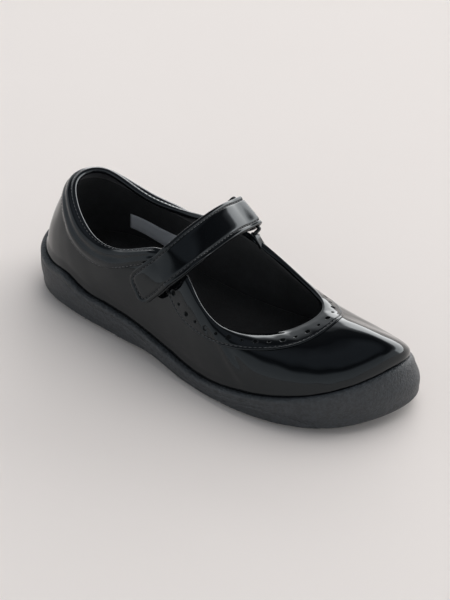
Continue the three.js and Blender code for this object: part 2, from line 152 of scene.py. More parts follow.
# Padded collar: height of the panel below the topline.
COLLAR = (   # row, height
    (-3.35, 10.5),
    (-2.60, 13.0),
    (-1.60, 12.5),
    (0.00, 10.5),
    (1.35, 10.7),
    (2.20, 13.8),
    (2.80, 13.4),
    (3.28, 10.8),
    (3.95, 7.6),
)


# ---------------------------------------------------------------- curves
LOOP_ROUNDS = 60            # rounds in which a closed curve's control values settle


def loop(values):
    """Smooth closed curve through values, as a function of u from 0 to 1."""
    values = np.asarray(values, float)
    n = len(values)
    control = values.copy()
    for _ in range(LOOP_ROUNDS):
        control = (6 * values - np.roll(control, 1) - np.roll(control, -1)) / 4

    def at(u):
        t = (np.asarray(u, float) % 1) * n
        i = np.floor(t).astype(int)
        f = t - i
        weights = ((1 - f) ** 3, 3 * f**3 - 6 * f**2 + 4, -3 * f**3 + 3 * f**2 + 3 * f + 1, f**3)
        return sum(w * control[(i + k - 1) % n] for k, w in enumerate(weights)) / 6

    return at


def open_curve(knots, values):
    """Smooth open curve (natural cubic spline) through values at knots."""
    x = np.asarray(knots, float)
    y = np.asarray(values, float)
    n = len(x)
    h = np.diff(x)
    matrix = np.eye(n)
    right = np.zeros_like(y)
    for i in range(1, n - 1):
        matrix[i, i - 1 : i + 2] = h[i - 1], 2 * (h[i - 1] + h[i]), h[i]
        right[i] = 6 * ((y[i + 1] - y[i]) / h[i] - (y[i] - y[i - 1]) / h[i - 1])
    bend = np.linalg.solve(matrix, right)

    def at(t):
        t = np.asarray(t, float)
        i = np.clip(np.searchsorted(x, t) - 1, 0, n - 2)
        a = (x[i + 1] - t) / h[i]
        b = 1 - a
        pull = h[i] ** 2 / 6
        if y.ndim > 1:
            a, b, pull = a[..., None], b[..., None], pull[..., None]
        return a * y[i] + b * y[i + 1] + ((a**3 - a) * bend[i] + (b**3 - b) * bend[i + 1]) * pull

    return at


def smooth(t):
    s = np.clip(t, 0, 1)
    return s * s * (3 - 2 * s)


def bell(distance, wide):
    """1 at distance 0, fading out evenly on both sides."""
    return np.exp(-((distance / wide) ** 2))


def rounded(inside, radius):
    """Share of the full height at a distance inside an edge that is rounded over radius."""
    return np.sqrt(1 - (1 - np.clip(inside / radius, 0, 1)) ** 2)


def unit(vectors):
    return vectors / np.linalg.norm(vectors, axis=-1, keepdims=True)


def run_along(line):
    """Distance of each point of a line from its first point."""
    return np.concatenate([[0], np.cumsum(np.linalg.norm(np.diff(line, axis=0), axis=1))])


def quarter_turn(steps):
    """Angles of a quarter turn, without its start."""
    return np.linspace(0, np.pi / 2, steps + 1)[1:]


LAST_LOOP = {name: loop([row[i + 1] for row in LAST]) for i, name in enumerate(LAST_COLUMNS)}
UP = np.array((0.0, 0.0, 1.0))


def stack(x, y, z):
    return np.stack(np.broadcast_arrays(x, y, z), -1)


def outward(u):
    """Outward direction of the sole's outline, in plan."""
    h = 0.001
    dx = LAST_LOOP["rim_x"](u + h) - LAST_LOOP["rim_x"](u - h)
    dy = LAST_LOOP["rim_y"](u + h) - LAST_LOOP["rim_y"](u - h)
    return unit(stack(dy, -dx, 0 * dx))


def outline(u, inset, z, share=1.0):
    """Point inside the sole's outline; share is how much of the wall's lean it has."""
    n = outward(u)
    shift = inset + share * np.maximum(0, LAST_LOOP["lean"](u))
    x = LAST_LOOP["rim_x"](u) - n[..., 0] * shift
    y = LAST_LOOP["rim_y"](u) - n[..., 1] * shift
    return stack(x, y, z)


def side_row(u):
    """Rows from the back of the heel, counted along either side."""
    row = (np.asarray(u, float) % 1) * ROWS
    return np.minimum(row, ROWS - row)


def rim_z(u):
    """Height of the cupsole's rim."""
    z = LAST_LOOP["rim_z"](u)
    for _, at, high, wide in RIM_WAVES:
        z = z + high * bell(side_row(u) - at, wide)
    return z


def spring(x):
    return TOE_SPRING * np.maximum(0, (x - SPRING_FROM) / SPRING_RUN) ** 2


def ground_z(x):
    heel = HEEL_LIFT * np.maximum(0, (HEEL_FLAT_TO - x) / HEEL_LIFT_RUN) ** 2
    t = np.clip((x - ARCH_FROM) / (ARCH_TO - ARCH_FROM), 0, 1)
    return spring(x) + heel + ARCH_RISE * np.sin(np.pi * t) ** 2


def floor_z(x):
    slope = smooth((x - FLOOR_FROM) / (FLOOR_TO - FLOOR_FROM))
    return HEEL_FLOOR + (BALL_FLOOR - HEEL_FLOOR) * slope + spring(x)


def upper_point(u, v):
    """Outer face of the upper: v 0 at the sole's rim, 1 at the topline."""
    u, v = np.broadcast_arrays(np.asarray(u, float), np.asarray(v, float))
    foot = outline(u, FEATHER, rim_z(u))
    top = stack(*(LAST_LOOP[name](u) for name in ("top_x", "top_y", "top_z")))
    p1 = foot + outward(u) * LAST_LOOP["bulge"](u)[..., None] + UP * LAST_LOOP["rise"](u)[..., None]
    away = foot - top
    away[..., 2] = 0
    p2 = top + unit(away) * LAST_LOOP["back"](u)[..., None] + UP * LAST_LOOP["lift"](u)[..., None]
    s = v[..., None]
    return (1 - s) ** 3 * foot + 3 * (1 - s) ** 2 * s * p1 + 3 * (1 - s) * s * s * p2 + s**3 * top


def upper_axes(u, v):
    """Unit vectors on the upper: up along the wall, and out of it."""
    h = 0.002
    along = upper_point(u + h, v) - upper_point(u - h, v)
    up = unit(upper_point(u, np.minimum(1, v + h)) - upper_point(u, np.maximum(0, v - h)))
    return up, unit(np.cross(along, up))


FINE = 120
FINE_V = np.linspace(0, 1, FINE + 1)


def drop_table(u):
    """Distance below the topline at each of FINE_V, for each u."""
    line = upper_point(u[:, None], FINE_V[None])
    steps = np.linalg.norm(np.diff(line, axis=1), axis=2)
    length = np.concatenate([np.zeros((len(u), 1)), np.cumsum(steps, 1)], 1)
    return length[:, -1:] - length


def v_below(u, drop):
    """v at a distance below the topline; u is (n,), drop is (n, m)."""
    table = drop_table(u)
    return np.stack([np.interp(-drop[i], -table[i], FINE_V) for i in range(len(u))])


# ---------------------------------------------------------------- creases
# Soft troughs (depth above 0) and ridges: place in rows and in millimetres
# below the topline, half length and half width, lean in degrees.
CREASES = (   # name, row, drop, length, width, lean, depth
    ("outer flex line",     5.55, 24.0, 13.0, 3.4,  62, 0.50),
    ("outer flex fold",     5.90, 23.0, 11.0, 3.0,  58, 0.35),
    ("outer flex ridge",    5.72, 24.0, 12.0, 3.0,  60, -0.35),
    ("inner flex line",    11.60, 24.0, 12.0, 3.4, -60, 0.45),
    ("inner flex fold",    11.30, 23.0, 10.0, 3.0, -55, 0.30),
    ("behind the strap",    3.05,  6.0,  8.0, 3.2,  18, 0.55),
    ("collar fold",         2.55,  5.0,  9.0, 2.6, -10, 0.30),
    ("inner collar fold",  14.10,  6.0,  8.0, 3.0, -14, 0.45),
    ("heel sink",           0.90, 17.0, 10.0, 6.0,   8, 0.30),
    ("heel sink inside",   16.20, 18.0, 10.0, 6.0,  -8, 0.30),
)
WAVES = (   # waves round the shoe, along the drop, phase, height: slight unevenness
    (11, 0.11, 0.4, 0.050),
    (19, -0.17, 2.1, 0.035),
    (29, 0.23, 4.0, 0.022),
    (43, -0.31, 1.2, 0.014),
)


ROW_LONG = 26.0             # about the length of one row of LAST along the wall


def unevenness(u, drop):
    """How far the leather stands out of its smooth form, in millimetres."""
    row = (u % 1) * ROWS
    out = np.zeros(np.broadcast(row, drop).shape)
    for _, at, down, long, wide, lean, depth in CREASES:
        a = ((row - at + ROWS / 2) % ROWS - ROWS / 2) * ROW_LONG
        b = drop - down
        c, s = math.cos(math.radians(lean)), math.sin(math.radians(lean))
        along, across = a * c + b * s, -a * s + b * c
        out -= depth * np.exp(-((along / long) ** 2) - (across / wide) ** 2)
    for rounds, down, phase, height in WAVES:
        out += height * np.sin(rounds * u * 2 * np.pi + down * drop + phase)
    return out


# ---------------------------------------------------------------- the upper's surface
def wall(u, q, h=0.0):
    """Points on the upper. q runs down the outer face in millimetres from the foot of the
    topline's rounding; negative q goes over the rounding and down the inside. h is how far
    the point stands off the face. Below the upper's foot the wall runs straight down."""
    q = np.broadcast_to(q, (len(u), np.shape(q)[-1]))
    h = np.broadcast_to(h, q.shape)[..., None]
    inside = np.maximum(0, -q - HALF_TURN)
    drop = EDGE + np.maximum(0, q) + inside
    full = drop_table(u)[:, :1]
    v = v_below(u, np.minimum(drop, full))
    up, out = upper_axes(u[:, None], v)
    phi = np.clip(-q / EDGE, 0, np.pi)[..., None]
    centre = upper_point(u[:, None], v) - out * EDGE
    points = centre + (EDGE + h) * (out * np.cos(phi) + up * np.sin(phi))
    return points - UP * np.maximum(0, drop - full)[..., None]


def wall_normals(u, q):
    """Outward unit vectors of the same points."""
    return unit(wall(u, q, 1.0) - wall(u, q, 0.0))


def wall_line(u, q, h=0.0):
    """Line on the upper, with one q for each u."""
    return wall(u, q[:, None], h)[:, 0]


def rows_u(first, last, count):
    return np.linspace(first, last, count) / ROWS


def wavy(u, q):
    """Unevenness of the outer face, fading out at the rounded edge."""
    return unevenness(u[:, None], q + EDGE) * smooth(np.maximum(q, 0) / 3)


# ---------------------------------------------------------------- meshes
rim_u = np.linspace(0, 1, 2000, endpoint=False)
rim_low = np.array([LAST_LOOP[name](rim_u).min() for name in ("rim_x", "rim_y")] + [0.0])
SHIFT = np.array([cad_low[0] / MM, cad_low[1] / MM, 0.0]) - rim_low


def to_frame(points):
    return (np.asarray(points) + SHIFT) * MM


def new_mesh(name, points, faces, material, slot, marks=None):
    """A piece from table points and arrays of point numbers, riding on the one body."""
    mesh = bpy.data.meshes.new(name)
    flat = np.concatenate([np.asarray(f).reshape(-1) for f in faces])
    sizes = np.concatenate([np.full(len(f), np.shape(f)[1]) for f in faces])
    starts = np.concatenate([[0], np.cumsum(sizes)[:-1]])
    mesh.vertices.add(len(points))
    mesh.vertices.foreach_set("co", to_frame(points).astype(np.float32).reshape(-1))
    mesh.loops.add(len(flat))
    mesh.loops.foreach_set("vertex_index", flat.astype(np.int32))
    mesh.polygons.add(len(sizes))
    mesh.polygons.foreach_set("loop_start", starts.astype(np.int32))
    mesh.polygons.foreach_set("loop_total", sizes.astype(np.int32))
    mesh.update(calc_edges=True)
    for mark, values in (marks or {}).items():
        layer = mesh.attributes.new(mark, "FLOAT", "POINT")
        layer.data.foreach_set("value", np.asarray(values, np.float32).reshape(-1))
    build = bmesh.new()
    build.from_mesh(mesh)
    bmesh.ops.recalc_face_normals(build, faces=build.faces)
    build.to_mesh(mesh)
    build.free()
    mesh.shade_smooth()
    mesh.materials.append(material)
    piece = bpy.data.objects.new(name, mesh)
    bpy.context.scene.collection.objects.link(piece)
    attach(piece, "root")
    return piece


def quads(index, wrap_rows=False, wrap_columns=False):
    """Quads over a 2-D array of point numbers."""
    if wrap_rows:
        index = np.vstack([index, index[:1]])
    if wrap_columns:
        index = np.hstack([index, index[:, :1]])
    corners = (index[:-1, :-1], index[1:, :-1], index[1:, 1:], index[:-1, 1:])
    return np.stack(corners, -1).reshape(-1, 4)


def numbers(shape, first=0):
    return first + np.arange(shape[0] * shape[1]).reshape(shape[:2])


def ring_shell(name, section, material, slot, marks=None):
    """Closed solid from sections all the way round the shoe, each a closed loop of points."""
    faces = quads(numbers(section.shape), True, True)
    return new_mesh(name, section.reshape(-1, 3), [faces], material, slot, marks)


def bar_shell(name, section, material, slot, marks=None):
    """Closed solid from a row of sections; each section's second half runs back under its first."""
    index = numbers(section.shape)
    half = section.shape[1] // 2
    caps = [quads(np.stack([end[:half], end[half:][::-1]])) for end in (index[0], index[-1])]
    faces = [quads(index, False, True), *caps]
    return new_mesh(name, section.reshape(-1, 3), faces, material, slot, marks)


CAPSULE_SIDES, CAPSULE_RINGS = 8, 6


def stitches(name, line, out, material, slot, pitch=STITCH_PITCH, sink=0.1):
    """Small sunken capsules, one pitch apart along a line of points with outward vectors."""
    length = run_along(line)
    count = int(length[-1] / pitch)
    wanted = (np.arange(count) + 0.5) * length[-1] / count
    ahead = np.gradient(line, axis=0)
    centres, along, normals = (
        np.stack([np.interp(wanted, length, values[:, k]) for k in range(3)], -1)
        for values in (line, ahead, out))
    along, normals = unit(along), unit(normals)
    side = np.cross(normals, along)
    turn = np.linspace(0, 2 * np.pi, CAPSULE_SIDES, endpoint=False)
    lift = np.linspace(0, np.pi, CAPSULE_RINGS + 1)[1:-1]
    share = pitch / STITCH_PITCH
    x = -np.cos(lift)[:, None] * STITCH_LONG * share / 2 + 0 * turn
    r = np.sin(lift)[:, None] ** 0.6 * STITCH_THICK / 2
    body = np.stack([x, r * np.cos(turn), r * np.sin(turn)], -1).reshape(-1, 3)
    tips = [[-STITCH_LONG * share / 2, 0, 0], [STITCH_LONG * share / 2, 0, 0]]
    template = np.vstack([body, tips])
    index = numbers((len(lift), CAPSULE_SIDES))
    first, last = len(body), len(body) + 1
    start = np.stack([np.full(CAPSULE_SIDES, first), index[0], np.roll(index[0], -1)], -1)
    end = np.stack([np.full(CAPSULE_SIDES, last), np.roll(index[-1], -1), index[-1]], -1)
    axes = np.stack([along, side, normals], 1)
    points = (centres - normals * sink)[:, None] + np.einsum("pk,nkc->npc", template, axes)
    offsets = (np.arange(count) * len(template))[:, None, None]
    faces = [(f[None] + offsets).reshape(-1, f.shape[1])
             for f in (quads(index, False, True), start, end)]
    return new_mesh(name, points.reshape(-1, 3), faces, material, slot)


# ---------------------------------------------------------------- materials
def grey(value):
    return (value, value, value)


class Tree:
    """A node tree under construction."""

    def __init__(self, tree):
        self.nodes = tree.nodes
        self.links = tree.links

    def ramp(self, source, *stops):
        node = self.nodes.new("ShaderNodeValToRGB")
        elements = node.color_ramp.elements
        while len(elements) < len(stops):
            elements.new(0.5)
        for element, (place, colour) in zip(elements, stops):
            element.position = place
            element.color = (*colour, 1)
        self.links.new(source, node.inputs["Fac"])
        return node.outputs["Color"]

    def mix(self, share, first, second):
        node = self.nodes.new("ShaderNodeMix")
        node.data_type = "RGBA"
        self.links.new(share, node.inputs["Factor"])
        for socket, value in ((node.inputs[6], first), (node.inputs[7], second)):
            if isinstance(value, tuple):
                socket.default_value = (*value, 1)
            else:
                self.links.new(value, socket)
        return node.outputs[2]


class Shade(Tree):
    """A Principled material under construction."""

    def __init__(self, name):
        self.material = bpy.data.materials.new(name)
        self.material.use_nodes = True
        super().__init__(self.material.node_tree)
        self.shader = self.nodes["Principled BSDF"]
        self.place = self.nodes.new("ShaderNodeTexCoord").outputs["Object"]
        self.normal = None

    def noise(self, scale, detail=4.0, rough=0.55):
        node = self.nodes.new("ShaderNodeTexNoise")
        node.inputs["Scale"].default_value = scale
        node.inputs["Detail"].default_value = detail
        node.inputs["Roughness"].default_value = rough
        self.links.new(self.place, node.inputs["Vector"])
        return node.outputs["Fac"]

    def cells(self, scale):
        node = self.nodes.new("ShaderNodeTexVoronoi")
        node.inputs["Scale"].default_value = scale
        self.links.new(self.place, node.inputs["Vector"])
        return node.outputs["Distance"]

    def mark(self, name):
        node = self.nodes.new("ShaderNodeAttribute")
        node.attribute_name = name
        return node.outputs["Fac"]

    def bump(self, source, strength, depth):
        """Depth in millimetres."""
        node = self.nodes.new("ShaderNodeBump")
        node.inputs["Strength"].default_value = strength
        node.inputs["Distance"].default_value = depth * MM
        self.links.new(source, node.inputs["Height"])
        if self.normal:
            self.links.new(self.normal, node.inputs["Normal"])
        self.normal = node.outputs["Normal"]
        self.links.new(self.normal, self.shader.inputs["Normal"])

    def set(self, **values):
        for name, value in values.items():
            socket = self.shader.inputs[name.replace("_", " ")]
            if hasattr(value, "is_linked"):
                self.links.new(value, socket)
            else:
                socket.default_value = value
        return self.material


COAT = 0.05


def patent(name, tint=(0.0016, 0.0018, 0.0022), rough=0.028, marked=False):
    """Black patent leather: clear lacquer over dyed leather, with a faint orange peel. Where
    it is marked as a hole or a stitch groove it is darker and dull: painted shade in the recess."""
    shade = Shade(name)
    colour = shade.ramp(shade.noise(45, 3), (0.35, tint), (0.7, tuple(1.6 * c for c in tint)))
    gloss = shade.ramp(shade.noise(210, 5, 0.7), (0.45, grey(rough)), (0.8, grey(rough * 1.8)))
    coat = COAT
    if marked:
        # painted shade: marked holes and stitch grooves are painted near black and dull
        painted_shade = shade.mark("painted_shade")
        colour = shade.mix(painted_shade, colour, (0.0008, 0.0008, 0.0008))
        gloss = shade.mix(painted_shade, gloss, grey(1.0))
        coat = shade.mix(painted_shade, grey(COAT), grey(0.0))
    shade.bump(shade.noise(1400, 2), 0.025, 0.3)
    shade.bump(shade.noise(110, 2), 0.10, 0.5)
    shade.set(Base_Color=colour, Roughness=gloss, IOR=1.44, Coat_Roughness=0.02)
    shade.set(Specular_Tint=(0.86, 0.95, 1.0, 1))
    return shade.set(Coat_Weight=coat)


def rubber(name):
    """Matte black rubber, finely pebbled, lighter where the pebble grain stands up."""
    shade = Shade(name)
    cloud = shade.noise(30, 5, 0.6)
    colour = shade.ramp(cloud, (0.3, (0.013, 0.0155, 0.018)), (0.75, (0.021, 0.0245, 0.028)))
    grain = shade.ramp(shade.noise(620, 3, 0.7), (0.38, grey(0.0)), (0.64, grey(1.0)))
    # lighter colour where the same noise raises the pebble bump
    colour = shade.mix(grain, colour, (0.034, 0.040, 0.046))
    gloss = shade.ramp(shade.noise(90, 5), (0.3, grey(0.42)), (0.8, grey(0.58)))
    shade.bump(grain, 0.35, 0.25)
    shade.bump(shade.cells(1100), 0.5, 0.35)
    shade.bump(shade.noise(420, 4), 0.25, 0.4)
    return shade.set(Base_Color=colour, Roughness=gloss, IOR=1.5)


def cloth(name, dark, light, scale=1500, strength=0.35, rough=0.85, band=None):
    """Brushed or woven lining."""
    shade = Shade(name)
    colour = shade.ramp(shade.noise(70, 4), (0.3, dark), (0.75, light))
    if band:
        colour = shade.mix(shade.mark("band"), colour, band)
    gloss = shade.ramp(shade.noise(300, 3), (0.3, grey(rough)), (0.8, grey(min(1, rough * 1.15))))
    shade.bump(shade.cells(scale), strength, 0.3)
    shade.bump(shade.noise(180, 4), 0.2, 0.5)
    shade.set(Base_Color=colour, Roughness=gloss)
    return shade.set(Sheen_Weight=0.12, Sheen_Roughness=0.5)


PAD_CLOTH = (0.034, 0.034, 0.038)     # the padded band inside the collar
PATENT = patent("patent_leather")
BAND_PATENT = patent("punched_patent", marked=True)
COLLAR_PATENT = patent("collar_leather", (0.004, 0.0045, 0.0055), 0.06)
STRAP_PATENT = patent("strap_leather", rough=0.03, marked=True)
KEEPER_PATENT = patent("keeper_leather", rough=0.22)
RUBBER = rubber("sole_rubber")
LINING = cloth("lining_cloth", (0.014, 0.0145, 0.0155), (0.026, 0.027, 0.029), band=PAD_CLOTH)
SOCK = cloth("insole_cover", (0.008, 0.008, 0.0085), (0.016, 0.016, 0.017), 900)
LABEL = cloth("label_cloth", (0.72, 0.74, 0.78), (0.82, 0.84, 0.88), 2200, 0.2)
THREAD = cloth("thread", (0.030, 0.031, 0.034), (0.070, 0.072, 0.078), 3000, 0.5, 0.35)


# ---------------------------------------------------------------- camera
CAMERA_AZIMUTH, CAMERA_ELEVATION = 39.49, 33.53    # degrees
CAMERA_DISTANCE = 1230.0
CAMERA_POINT = np.array((-59.82, 86.80, 0.0))      # on the floor; the distance is from here
AIM = np.array((2.0, -1.0, 25.0))                  # about the middle of the shoe
LENS = 140.0


def add_camera():
    a, e = math.radians(CAMERA_AZIMUTH), math.radians(CAMERA_ELEVATION)
    back = np.array((math.sin(a) * math.cos(e), -math.cos(a) * math.cos(e), math.sin(e)))
    eye = to_frame(CAMERA_POINT + back * CAMERA_DISTANCE)
    data = bpy.data.cameras.new("camera")
    data.lens = LENS
    data.sensor_width = 36
    data.clip_start = 0.05
    data.clip_end = 20
    camera = bpy.data.objects.new("camera", data)
    camera.location = eye
    camera.rotation_euler = Vector(to_frame(AIM) - eye).to_track_quat("-Z", "Y").to_euler()
    bpy.context.scene.collection.objects.link(camera)
    bpy.context.scene.camera = camera


# ---------------------------------------------------------------- cupsole
SOLE_SIDE = 300             # steps along each side of the shoe
NARROWEST = 0.04            # steps narrower than this are left out
TREAD_X = (-88, -80, -72, -64, -56, -48, 14, 22, 30, 38, 46, 54, 62, 70, 78)
TREAD_OUT = (-64, -56, -48, 62, 70, 78)      # these run out through the edge
TREAD_DEPTH, TREAD_WIDTH, TREAD_SLOPE = 1.8, 2.4, 0.35
CHANNEL_IN, CHANNEL_WIDE, CHANNEL_DEEP = 8.0, 1.3, 1.0      # groove all round the tread
BASE_INSET = SOLE_WALL[0][1]
RIM_ROUND, RIM_DOWN = 2.3, 1.8               # outer rounding of the rim: in, down
TOE_DOWN = 5.2                               # it is this much deeper at the toe
TOE_ROUND_FROM, TOE_ROUND_RUN = 6.3, 1.9     # from this row, over this many
RIM_CLOSE, LIP_DOWN = 3.45, 0.7              # its inner lip closes on the leather
BEAD, BEAD_DEPTH, BEAD_WIDE = 3.5, 0.22, 0.5     # fine groove round the wall, below the rim
BEAD_FADE = 0.2                              # what is left of it at toe and heel
BEAD_AT_HEEL, BEAD_TO_TOE, BEAD_TOE_RUN = 1.6, 8.3, 2.0      # rows over which it fades
BEAD_ZONE = 1.2                              # the wall has fine steps this far to either side of it
LOW_PART = 4.6                               # the wall's lower part ends this far below the rounding
NOTCH_UP, NOTCH_FADE = 0.3, 0.1              # how far up the wall the tread's grooves run out
ARCH_LINE_FROM, ARCH_LINE_TO, ARCH_LINE_HIGH = 30, 86, 8.2
ARCH_LINE_DEPTH, ARCH_LINE_WIDE = 0.4, 0.6


def groove_cut(x, inside, through):
    """Depth cut into the tread at x; inside is the distance in from the outline."""
    depth = CHANNEL_DEEP * np.exp(-(((inside - CHANNEL_IN) / CHANNEL_WIDE) ** 4)) + 0 * x
    for at in TREAD_X:
        cut = smooth((TREAD_WIDTH / 2 + TREAD_SLOPE - np.abs(x - at)) / (2 * TREAD_SLOPE))
        reach = 1.0 if at in TREAD_OUT else smooth((inside - CHANNEL_IN + 1) / 1.5)
        depth = np.maximum(depth, TREAD_DEPTH * cut * reach * (through if at in TREAD_OUT else 1))
    return depth


def side_line(x, z):
    """Shallow moulded line that arches along the wall beside the ball of the foot."""
    t = np.clip((x - ARCH_LINE_FROM) / (ARCH_LINE_TO - ARCH_LINE_FROM), 0, 1)
    away = (z - ground_z(x) - ARCH_LINE_HIGH * np.sin(np.pi * t) ** 0.8) / ARCH_LINE_WIDE
    return np.where((t > 0) & (t < 1), ARCH_LINE_DEPTH * np.exp(-(away**2)), 0)


def paired_ring(inset, count, extra=(), share=1.0):
    """Places round the shoe, at the same x on the outer and the inner side."""
    u = np.linspace(0, 1, 6000, endpoint=False)
    line = outline(u, inset, 0, share)
    toe, heel = u[line[:, 0].argmax()], u[line[:, 0].argmin()]
    heel = heel - 1 if heel > 0.5 else heel
    outer = np.linspace(heel, toe, 4000)
    inner = np.linspace(toe, heel + 1, 4000)
    outer_line = outline(outer, inset, 0, share)
    length = run_along(outer_line)
    x = np.interp(np.linspace(0, length[-1], count + 1)[1:-1], length, outer_line[:, 0])
    x = np.unique(np.concatenate([x, np.asarray(extra, float)]))
    x = x[np.concatenate([[True], np.diff(x) > NARROWEST])]
    inner_x = outline(inner, inset, 0, share)[:, 0]
    outer_u = np.interp(x, outer_line[:, 0], outer)
    inner_u = np.interp(-x, -inner_x, inner)
    return np.concatenate([[heel], outer_u, [toe], inner_u[::-1]])


def plate(ring, edge, first, steps, height):
    """Fills a paired ring straight across. Gives the new points and the faces."""
    half = len(ring) // 2
    outer, inner = np.arange(1, half), len(ring) - np.arange(1, half)
    share = ((1 - np.cos(np.linspace(0, np.pi, steps + 1))) / 2)[1:-1, None]
    a, b = edge[outer][:, None], edge[inner][:, None]
    grid = a * (1 - share) + b * share
    wide = np.linalg.norm(b - a, axis=2)
    grid[..., 2] = height(grid[..., 0], np.minimum(share[:, 0], 1 - share[:, 0]) * wide)
    index = np.hstack([ring[outer][:, None], numbers(grid.shape, first), ring[inner][:, None]])
    fans = [np.stack([np.full(len(row) - 1, tip), row[:-1], row[1:]], -1)
            for tip, row in ((ring[0], index[0]), (ring[half], index[-1]))]
    return grid.reshape(-1, 3), [quads(index), *fans]


def plated_ring(name, columns, plates, material, slot):
    """Closed solid from a ring of columns; a plate is the column it fills, steps and height."""
    section = np.stack(columns, 1)
    index = numbers(section.shape)
    points, faces = [section.reshape(-1, 3)], [quads(index, True, False)]
    for column, steps, height in plates:
        first = sum(map(len, points))
        extra, more = plate(index[:, column], section[:, column], first, steps, height)
        points.append(extra)
        faces += more
    return new_mesh(name, np.vstack(points), faces, material, slot)


def sole_wall(u, z, rim, ground):
    """Points on the wall at height z, between the tread and the rim's rounding."""
    side = side_row(u)
    bead = (1 - BEAD_FADE) * smooth(side / BEAD_AT_HEEL)
    bead = BEAD_FADE + bead * smooth((BEAD_TO_TOE - side) / BEAD_TOE_RUN)
    up = (z - ground) / (rim - ground)
    last = SOLE_WALL[-1][0]
    inset = np.where(up < last, open_curve(*zip(*SOLE_WALL))(np.minimum(up, last)), 0)
    inset = inset + bead * BEAD_DEPTH * bell(rim - z - BEAD, BEAD_WIDE)
    lean = smooth((up - LEAN_FROM) / (1 - LEAN_FROM))
    x = outline(u, 0, 0, lean)[:, 0]
    p = outline(u, inset + side_line(x, z), 0, lean)
    notch = groove_cut(p[:, 0], 0 * inset, smooth((NOTCH_UP - up) / NOTCH_FADE))
    p[:, 2] = np.maximum(z, ground_z(p[:, 0]) + notch)
    return p


def build_sole():
    edges = [at + side * (TREAD_WIDTH / 2 + k * TREAD_SLOPE)
             for at in TREAD_X for side in (-1, 1) for k in (-1, 0, 1)]
    u = paired_ring(BASE_INSET, SOLE_SIDE, edges, 0.0)
    rim = rim_z(u)
    ground = ground_z(outline(u, 0, 0, 0.0)[:, 0])
    toe = smooth((side_row(u) - TOE_ROUND_FROM) / TOE_ROUND_RUN)
    down = RIM_DOWN + TOE_DOWN * toe
    lowest = RIM_DOWN + LOW_PART
    low = 1 - np.cos(np.linspace(0, np.pi / 2, 26))
    heights = [ground + (rim - TOE_DOWN * toe - lowest - ground) * share for share in low]
    to_bead = np.linspace(lowest, BEAD + BEAD_ZONE, 5)[1:-1]
    over_bead = np.linspace(BEAD + BEAD_ZONE, BEAD - BEAD_ZONE, 11)
    heights += [rim - TOE_DOWN * toe - below for below in (*to_bead, *over_bead, RIM_DOWN)]
    columns = [sole_wall(u, z, rim, ground) for z in heights]
    start = smooth(((rim - down - ground) / (rim - ground) - LEAN_FROM) / (1 - LEAN_FROM))
    for turn in quarter_turn(12):
        inset = RIM_ROUND * (1 - math.cos(turn))
        lean = start + (1 - start) * math.sin(turn)
        columns.append(outline(u, inset, rim - down + down * math.sin(turn), lean))
    for turn in quarter_turn(5):
        inset = RIM_ROUND + (RIM_CLOSE - RIM_ROUND) * math.sin(turn)
        columns.append(outline(u, inset, rim - LIP_DOWN * (1 - math.cos(turn))))
    for share in np.linspace(0, 1, 7)[1:]:
        p = outline(u, RIM_CLOSE, 0)
        p[:, 2] = (rim - LIP_DOWN) * (1 - share) + floor_z(p[:, 0]) * share
        columns.append(p)
    plates = (
        (0, 72, lambda x, inside: ground_z(x) + groove_cut(x, inside + BASE_INSET, 1.0)),
        (-1, 10, lambda x, inside: floor_z(x)),
    )
    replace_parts(plated_ring("cupsole", columns, plates, RUBBER, "sole_rubber"), "outsole")


# ---------------------------------------------------------------- insole
INSOLE_INSET = FEATHER + WALL + GAP
INSOLE_ROUND = 0.8
HEEL_CUP, CUP_WIDE = 1.2, 9.0        # the sock rises this much towards its edge, over this width
CUP_FADE, CUP_FADE_RUN = 0.6, 60     # it rises this much less in front, over this length


def cup(x, inside):
    """Rise of the sock towards its edge, more under the heel."""
    heel = 1 - CUP_FADE * smooth((x + CUP_FADE_RUN) / CUP_FADE_RUN)
    return HEEL_CUP * heel * (1 - smooth(inside / CUP_WIDE))


def build_insole():
    u = paired_ring(INSOLE_INSET, 200)
    columns = []
    for inset, up in ((1.0, 0.0), (0.2, 0.3), (0.0, 0.9)):
        p = outline(u, INSOLE_INSET + inset, 0)
        p[:, 2] = floor_z(p[:, 0]) + GAP + up
        columns.append(p)
    for turn in np.linspace(0, np.pi / 2, 7):
        p = outline(u, INSOLE_INSET + INSOLE_ROUND * (1 - math.cos(turn)), 0)
        top = INSOLE_THICK + cup(p[:, 0], INSOLE_ROUND)
        p[:, 2] = floor_z(p[:, 0]) + GAP + top - INSOLE_ROUND * (1 - math.sin(turn))
        columns.append(p)
    plates = (
        (0, 8, lambda x, inside: floor_z(x) + GAP),
        (-1, 40, lambda x, inside: floor_z(x) + GAP + INSOLE_THICK
         + cup(x, inside + INSOLE_ROUND)),
    )
    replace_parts(plated_ring("sock_lining", columns, plates, SOCK, "insole_lining"), "insole")


# ---------------------------------------------------------------- upper and lining
UPPER_AROUND = 620
FOOT_DEPTH = 4.0             # the leather goes this far down inside the cupsole's rim
HUG, HUG_RUN = 0.8, 6.0      # the leather bulges over the rim's lip, over this run
FOLD_DOWN = 1.3              # the leather turns over the topline and this far down inside
SEAM_DEPTH, SEAM_WIDE, SEAM_EDGE = 0.35, 0.35, 2.4      # back seam and its stitch lines
SEAM_FROM, STITCHED_FROM, STITCHED_TO = 9, 13, 37       # below the topline's rounding
HEEL_ROW = 24.0              # length of a row of LAST across the back of the heel


def from_heel(u):
    """Rows from the back of the heel: below 0 on the inner side."""
    return (u * ROWS + ROWS / 2) % ROWS - ROWS / 2


def back_seam(u, q):
    return -SEAM_DEPTH * bell(from_heel(u) * HEEL_ROW, SEAM_WIDE) * smooth((q - SEAM_FROM) / 2)


